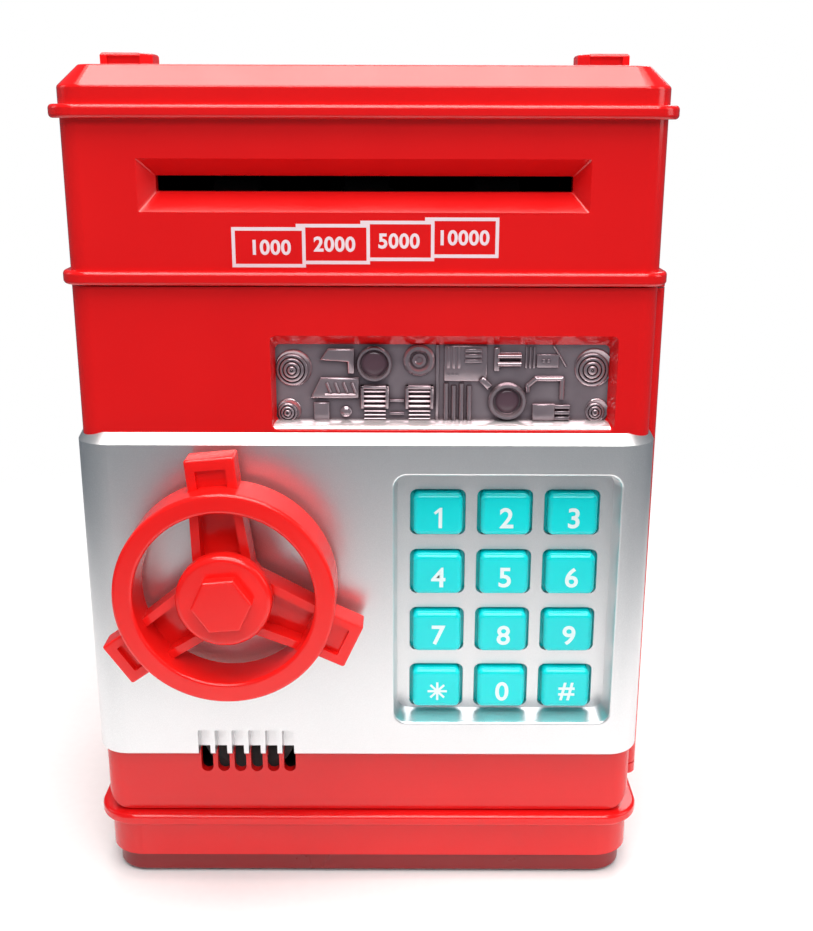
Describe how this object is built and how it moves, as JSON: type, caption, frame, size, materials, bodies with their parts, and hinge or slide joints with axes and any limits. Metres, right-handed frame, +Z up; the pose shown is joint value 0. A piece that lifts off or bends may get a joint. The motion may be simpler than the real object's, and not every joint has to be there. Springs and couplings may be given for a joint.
{
  "type": "toy atm savings bank",
  "caption": "Toy cash machine money box: red housing with a hinged front door, silver fascia, sprung keypad, turning lock wheel, note slot with powered rollers, and coin slot.",
  "frame": {"origin": "on the floor, at the centre of the object's overall width and depth", "axes": "+X is the object's right seen from the front, +Y its back, +Z up"},
  "size_m": [0.136, 0.1292, 0.1985],
  "materials": {
    "red_shell": "glossy moulded ABS",
    "dark_red_cover": "satin moulded plastic",
    "wheel_red": "glossy moulded ABS",
    "silver_paint": "satin silver paint on plastic",
    "window_relief": "metallised translucent plastic",
    "key_teal": "glossy moulded plastic with white legends",
    "membrane_silicone": "silicone rubber",
    "board_green": "solder-masked circuit board",
    "lamp_clear": "clear lamp resin",
    "inner_plastic": "moulded plastic",
    "white_nylon": "nylon",
    "steel": "plain steel",
    "screw_steel": "zinc-plated steel",
    "motor_can": "drawn steel can",
    "roller_rubber": "black rubber",
    "foot_rubber": "black rubber",
    "battery_jacket": "plain printed sleeve",
    "copper_coil": "enamelled copper winding",
    "speaker_black": "paper cone in a steel frame",
    "switch_black": "moulded switch"
  },
  "bodies": {
    "housing": {"base_tray": "red_shell", "rear_housing": "red_shell", "upper_housing": "red_shell", "top_lid": "red_shell", "bottom_cover": "dark_red_cover", "battery_cover": "dark_red_cover", "main_board": "board_green", "coin_chute": "inner_plastic", "note_guide_lower": "inner_plastic", "note_guide_upper": "inner_plastic", "side_plate_left": "inner_plastic", "side_plate_right": "inner_plastic", "hinge_pin": "steel", "strike_plate": "steel", "battery_contacts": "steel", "base_screws": "screw_steel", "battery_cover_screw": "screw_steel", "upper_screws": "screw_steel", "feed_motor": "motor_can", "rubber_feet": "foot_rubber", "battery_cells": "battery_jacket", "note_sensor": "switch_black"},
    "door": {"door_panel": "red_shell", "fascia": "silver_paint", "window_panel": "window_relief", "lamp_board": "board_green", "window_lamps": "lamp_clear", "key_membrane": "membrane_silicone", "keypad_board": "board_green", "speaker": "speaker_black", "inner_cover": "inner_plastic", "door_screws": "screw_steel", "solenoid_frame": "steel", "solenoid_coil": "copper_coil", "wheel_bush": "white_nylon"},
    "lock_wheel": {"wheel": "wheel_red", "hub_cap": "wheel_red", "wheel_shaft": "steel", "lock_disc": "white_nylon", "lock_cam": "steel", "cam_screw": "steel"},
    "note_roller": {"drive_shaft": "steel", "drive_roller_sleeves": "roller_rubber", "drive_gear": "white_nylon"},
    "pressure_roller": {"idler_roller": "steel"},
    "motor_rotor": {"motor_shaft": "steel", "motor_pinion": "white_nylon"},
    "plunger": {"solenoid_plunger": "steel"},
    "key_1_cap": {"key_1": "key_teal"},
    "key_2_cap": {"key_2": "key_teal"},
    "key_3_cap": {"key_3": "key_teal"},
    "key_4_cap": {"key_4": "key_teal"},
    "key_5_cap": {"key_5": "key_teal"},
    "key_6_cap": {"key_6": "key_teal"},
    "key_7_cap": {"key_7": "key_teal"},
    "key_8_cap": {"key_8": "key_teal"},
    "key_9_cap": {"key_9": "key_teal"},
    "key_star_cap": {"key_star": "key_teal"},
    "key_0_cap": {"key_0": "key_teal"},
    "key_hash_cap": {"key_hash": "key_teal"}
  },
  "joints": [
    {"name": "door_hinge", "type": "hinge", "parent": "housing", "child": "door", "pos_m": [0.0648, -0.0355, 0.09], "axis": [0, 0, 1], "range_deg": [0, 105]},
    {"name": "wheel_turn", "type": "hinge", "parent": "door", "child": "lock_wheel", "pos_m": [-0.0313, -0.0471, 0.082], "axis": [0, -1, 0], "range_deg": [0, 90]},
    {"name": "plunger_slide", "type": "slide", "parent": "door", "child": "plunger", "axis": [-1, 0, 0], "range_m": [0, 0.003]},
    {"name": "note_roller_spin", "type": "hinge", "parent": "housing", "child": "note_roller", "pos_m": [0, -0.0221, 0.1652], "axis": [1, 0, 0], "continuous": true},
    {"name": "motor_spin", "type": "hinge", "parent": "housing", "child": "motor_rotor", "pos_m": [0.05, -0.0046, 0.15985], "axis": [1, 0, 0], "continuous": true},
    {"name": "pressure_roller_spin", "type": "hinge", "parent": "housing", "child": "pressure_roller", "pos_m": [0, -0.0221, 0.1755], "axis": [1, 0, 0], "continuous": true},
    {"name": "press_1", "type": "slide", "parent": "door", "child": "key_1_cap", "axis": [0, 1, 0], "range_m": [0, 0.0015], "stiffness_N_per_m": 500, "springref_m": -0.0008},
    {"name": "press_2", "type": "slide", "parent": "door", "child": "key_2_cap", "axis": [0, 1, 0], "range_m": [0, 0.0015], "stiffness_N_per_m": 500, "springref_m": -0.0008},
    {"name": "press_3", "type": "slide", "parent": "door", "child": "key_3_cap", "axis": [0, 1, 0], "range_m": [0, 0.0015], "stiffness_N_per_m": 500, "springref_m": -0.0008},
    {"name": "press_4", "type": "slide", "parent": "door", "child": "key_4_cap", "axis": [0, 1, 0], "range_m": [0, 0.0015], "stiffness_N_per_m": 500, "springref_m": -0.0008},
    {"name": "press_5", "type": "slide", "parent": "door", "child": "key_5_cap", "axis": [0, 1, 0], "range_m": [0, 0.0015], "stiffness_N_per_m": 500, "springref_m": -0.0008},
    {"name": "press_6", "type": "slide", "parent": "door", "child": "key_6_cap", "axis": [0, 1, 0], "range_m": [0, 0.0015], "stiffness_N_per_m": 500, "springref_m": -0.0008},
    {"name": "press_7", "type": "slide", "parent": "door", "child": "key_7_cap", "axis": [0, 1, 0], "range_m": [0, 0.0015], "stiffness_N_per_m": 500, "springref_m": -0.0008},
    {"name": "press_8", "type": "slide", "parent": "door", "child": "key_8_cap", "axis": [0, 1, 0], "range_m": [0, 0.0015], "stiffness_N_per_m": 500, "springref_m": -0.0008},
    {"name": "press_9", "type": "slide", "parent": "door", "child": "key_9_cap", "axis": [0, 1, 0], "range_m": [0, 0.0015], "stiffness_N_per_m": 500, "springref_m": -0.0008},
    {"name": "press_star", "type": "slide", "parent": "door", "child": "key_star_cap", "axis": [0, 1, 0], "range_m": [0, 0.0015], "stiffness_N_per_m": 500, "springref_m": -0.0008},
    {"name": "press_0", "type": "slide", "parent": "door", "child": "key_0_cap", "axis": [0, 1, 0], "range_m": [0, 0.0015], "stiffness_N_per_m": 500, "springref_m": -0.0008},
    {"name": "press_hash", "type": "slide", "parent": "door", "child": "key_hash_cap", "axis": [0, 1, 0], "range_m": [0, 0.0015], "stiffness_N_per_m": 500, "springref_m": -0.0008}
  ],
  "couplings": [
    {"joint": "motor_spin", "follows": "note_roller_spin", "ratio": -2},
    {"joint": "pressure_roller_spin", "follows": "note_roller_spin", "ratio": -1.5}
  ]
}
